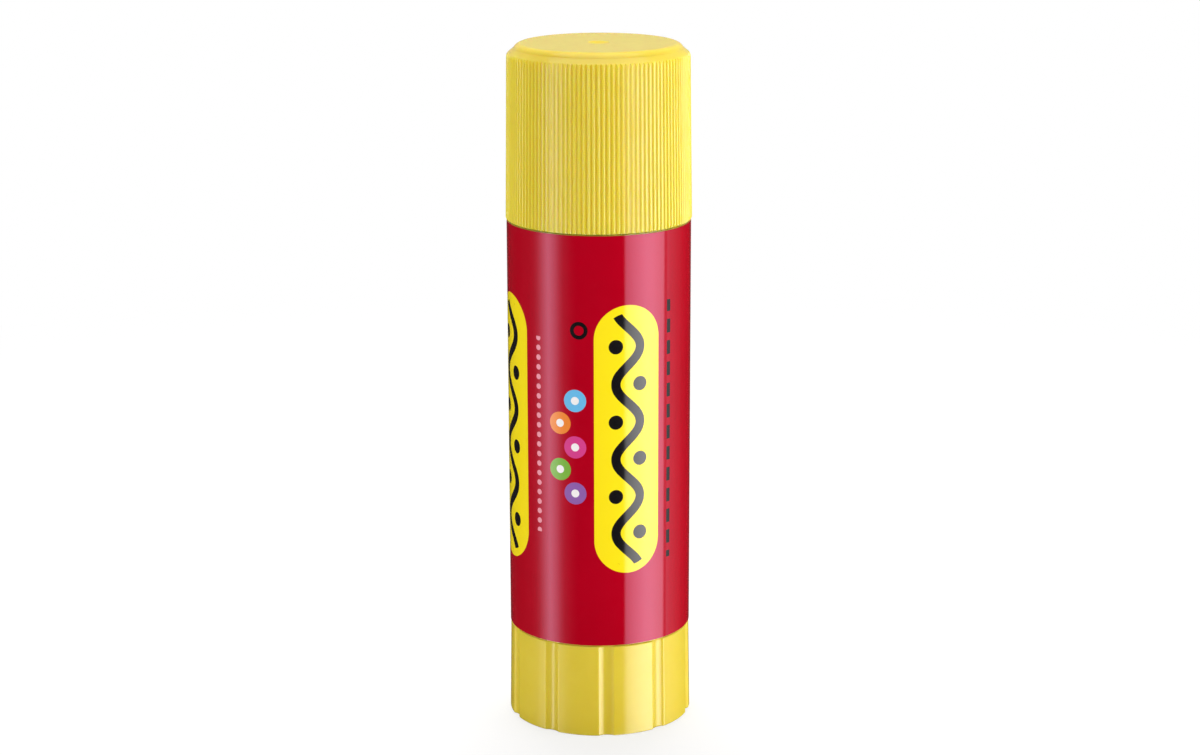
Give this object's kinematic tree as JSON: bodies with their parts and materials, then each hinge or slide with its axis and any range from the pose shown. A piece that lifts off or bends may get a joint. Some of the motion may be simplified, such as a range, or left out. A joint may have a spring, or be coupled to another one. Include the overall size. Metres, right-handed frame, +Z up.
{
  "type": "glue stick",
  "caption": "Twist-up glue stick with a ribbed pull-off cap, a wrapped barrel and a fluted turning base that raises the glue on a screw.",
  "frame": {"origin": "centre of the knob's foot, on the surface that the stick stands on", "axes": "+Z up the stick's axis towards the cap, -Y towards the front of the label"},
  "size_m": [0.0282, 0.0282, 0.105],
  "materials": {
    "moulded_yellow": "satin moulded polypropylene",
    "label_film": "glossy printed film",
    "natural_plastic": "satin natural plastic",
    "glue_paste": "smooth waxy paste"
  },
  "bodies": {
    "barrel": {"barrel": "moulded_yellow", "label": "label_film"},
    "knob": {"knob": "moulded_yellow", "spindle": "natural_plastic"},
    "carrier": {"carrier": "natural_plastic", "glue": "glue_paste"},
    "cap": {"cap": "moulded_yellow"}
  },
  "joints": [
    {"name": "knob_turn", "type": "hinge", "parent": "barrel", "child": "knob", "pos_m": [0, 0, 0], "axis": [0, 0, 1], "range_deg": [0, 4320]},
    {"name": "glue_rise", "type": "slide", "parent": "barrel", "child": "carrier", "axis": [0, 0, 1], "range_m": [0, 0.06]},
    {"name": "cap_pull", "type": "slide", "parent": "carrier", "child": "cap", "axis": [0, 0, 1], "range_m": [0, 0.03]}
  ],
  "couplings": [
    {"joint": "knob_turn", "follows": "glue_rise", "rad_per_m": 1256.6}
  ]
}
